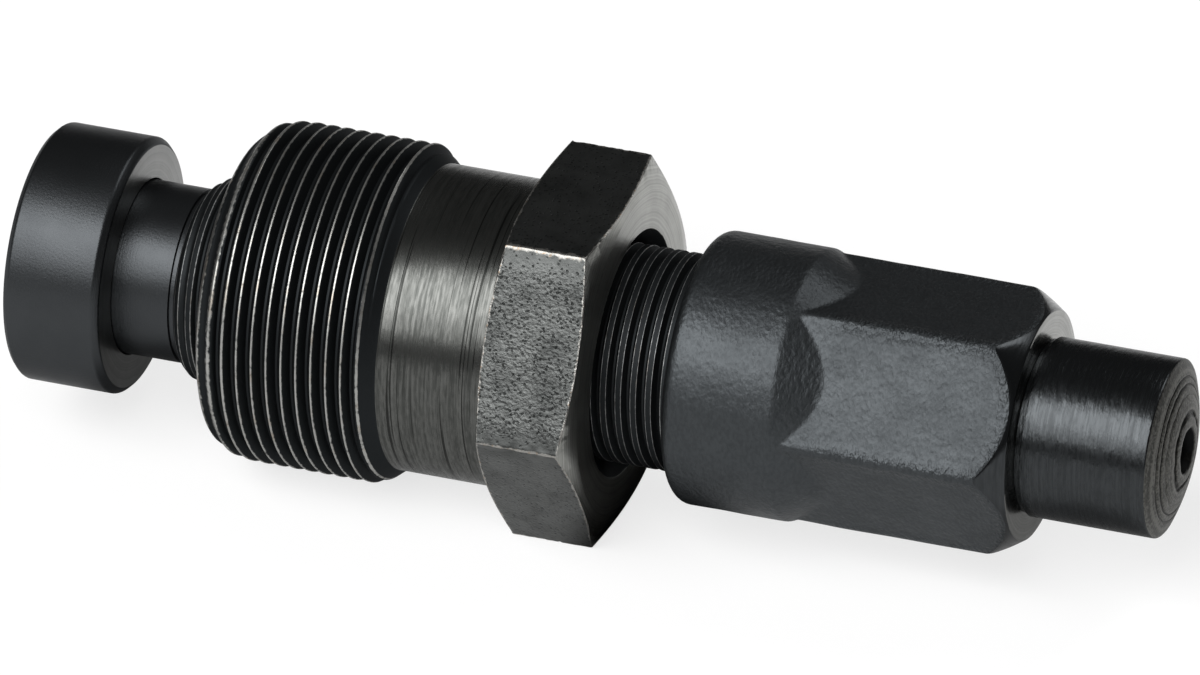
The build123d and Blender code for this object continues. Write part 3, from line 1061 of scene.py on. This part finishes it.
# Floor, light and camera
FLOOR_HALF = 6.0
FLOOR_DROP = 0.00004
floor_bm = bmesh.new()
bmesh.ops.create_grid(floor_bm, x_segments=1, y_segments=1, size=FLOOR_HALF)
bmesh.ops.translate(floor_bm, vec=(0.0, 0.0, -FLOOR_DROP), verts=floor_bm.verts[:])
floor_mesh = bpy.data.meshes.new("bench_floor")
floor_bm.to_mesh(floor_mesh)
floor_bm.free()
bench_floor = bpy.data.objects.new("bench_floor", floor_mesh)
bpy.context.scene.collection.objects.link(bench_floor)

floor_paper, tree, shader = new_finish("floor_paper")
tree.nodes.remove(shader)

# Painted shadow on the floor under the tool, seen only in the metal's reflections: how far back it lies,
# its reach, and where it fades out
PAINTED_SHADOW_BACK = 0.001
PAINTED_SHADOW_CORE = 0.004
PAINTED_SHADOW_EDGE = 0.0075
PAINTED_SHADOW_STRETCH = (1.0, 0.5, 1.0)
# The paper's own light and its lit share, as the camera sees it and as the metal reflects it
SEEN_GLOW = 0.74
SEEN_LIT = 0.28
METAL_GLOW = 0.36
METAL_LIT = 0.64
PLAIN_PAPER = 0.8


def clear_of_painted_shadow(tree, x, least):
    """1 on the open floor, falling to least in a painted shadow under the tool at station x."""
    spot = add(tree, "TexCoord").outputs["Object"]
    middle = (x * MM, PAINTED_SHADOW_BACK, 0.0)
    aside = add(tree, "VectorMath", {"operation": "SUBTRACT"}, {0: spot, 1: middle}).outputs["Vector"]
    sockets = {0: aside, 1: PAINTED_SHADOW_STRETCH}
    shaped = add(tree, "VectorMath", {"operation": "MULTIPLY"}, sockets).outputs["Vector"]
    away = add(tree, "VectorMath", {"operation": "LENGTH"}, {0: shaped}).outputs["Value"]
    return ranged(tree, away, PAINTED_SHADOW_CORE, PAINTED_SHADOW_EDGE, least, 1.0)


def white_paper(own_light, lit_share):
    """Paper that is white where the lamps reach it and keeps the tool's shadow."""
    lit = add(tree, "BsdfDiffuse", {}, {"Color": lit_share})
    glow = add(tree, "Emission", {}, {"Color": grey(1.0), "Strength": own_light})
    return add(tree, "AddShader", {}, {0: lit.outputs[0], 1: glow.outputs[0]}).outputs[0]


path = add(tree, "LightPath")
mirrored = sums(tree, "MAXIMUM", path.outputs["Is Glossy Ray"], path.outputs["Is Transmission Ray"])
plain_paper = add(tree, "BsdfDiffuse", {}, {"Color": grey(PLAIN_PAPER)}).outputs[0]
# Painted shadow: the floor's own light and lit share, as the metal reflects them, are cut down under the
# tool.
painted_shadow_under_thread = clear_of_painted_shadow(tree, 0.5 * (BODY_BACK + COLLAR), 0.0)
painted_shadow_under_stub = clear_of_painted_shadow(tree, HEX_END + 2.5, 0.45)
painted_shadow_under_nose = clear_of_painted_shadow(tree, TIP_BACK + 2.5, 0.25)
outside_painted_shadows = sums(tree, "MULTIPLY", sums(tree, "MULTIPLY", painted_shadow_under_thread, painted_shadow_under_stub), painted_shadow_under_nose)
metal_glow = sums(tree, "MULTIPLY", outside_painted_shadows, METAL_GLOW)
metal_lit = sums(tree, "MULTIPLY", outside_painted_shadows, METAL_LIT)
metal_paper = white_paper(metal_glow, metal_lit)
in_metal = add(tree, "MixShader", {}, {0: mirrored, 1: plain_paper, 2: metal_paper}).outputs[0]
seen_paper = white_paper(SEEN_GLOW, grey(SEEN_LIT))
seen = path.outputs["Is Camera Ray"]
in_view = add(tree, "MixShader", {}, {0: seen, 1: in_metal, 2: seen_paper}).outputs[0]
tree.links.new(in_view, tree.nodes["Material Output"].inputs["Surface"])
floor_paper.cycles.emission_sampling = "NONE"
floor_mesh.materials.append(floor_paper)

LAMP_DISTANCE = 1.4
WORLD_GREY = 0.12


def soft_light(name, elevation, azimuth, width, height, radiance):
    """Soft box aimed at the tool; azimuth turns from the front (-Y) towards the stub (+X)."""
    lamp = bpy.data.lights.new(name, "AREA")
    lamp.shape = "RECTANGLE"
    lamp.size, lamp.size_y = width, height
    lamp.energy = radiance * math.pi * width * height
    up, side = math.radians(elevation), math.radians(azimuth)
    towards = Vector((math.cos(up) * math.sin(side), -math.cos(up) * math.cos(side), math.sin(up)))
    box = bpy.data.objects.new(name, lamp)
    box.location = Vector((0.0, 0.0, AXIS_HEIGHT * MM)) + towards * LAMP_DISTANCE
    box.rotation_euler = (-towards).to_track_quat("-Z", "Y").to_euler()
    bpy.context.scene.collection.objects.link(box)


soft_light("front_soft_box", elevation=51.0, azimuth=-25.0, width=1.5, height=0.71, radiance=6.2)
soft_light("low_soft_box", elevation=28.5, azimuth=-20.0, width=1.5, height=0.42, radiance=3.5)
soft_light("side_fill", elevation=53.0, azimuth=147.0, width=0.7, height=0.6, radiance=3.4)

world = bpy.data.worlds.new("dim_studio")
world.use_nodes = True
backdrop = world.node_tree.nodes["Background"]
backdrop.inputs["Color"].default_value = grey(WORLD_GREY)
backdrop.inputs["Strength"].default_value = 1.0
bpy.context.scene.world = world
bpy.context.scene.view_settings.view_transform = "Standard"

CAMERA_AT = Vector((0.292763, -0.814078, 0.584074))
CAMERA_AIM = Vector((-0.001171, 0.00109, 0.01099))
CAMERA_ROLL = -1.207
CAMERA_LENS = 490.95
CAMERA_SENSOR = 36.0
lens = bpy.data.cameras.new("photo_camera")
lens.lens = CAMERA_LENS
lens.sensor_width = CAMERA_SENSOR
lens.clip_start, lens.clip_end = 0.01, 20.0
photo_camera = bpy.data.objects.new("photo_camera", lens)
photo_camera.location = CAMERA_AT
photo_camera.rotation_mode = "QUATERNION"
aimed = (CAMERA_AIM - CAMERA_AT).to_track_quat("-Z", "Y")
rolled = Quaternion((0.0, 0.0, 1.0), math.radians(CAMERA_ROLL))
photo_camera.rotation_quaternion = aimed @ rolled
bpy.context.scene.collection.objects.link(photo_camera)
bpy.context.scene.camera = photo_camera
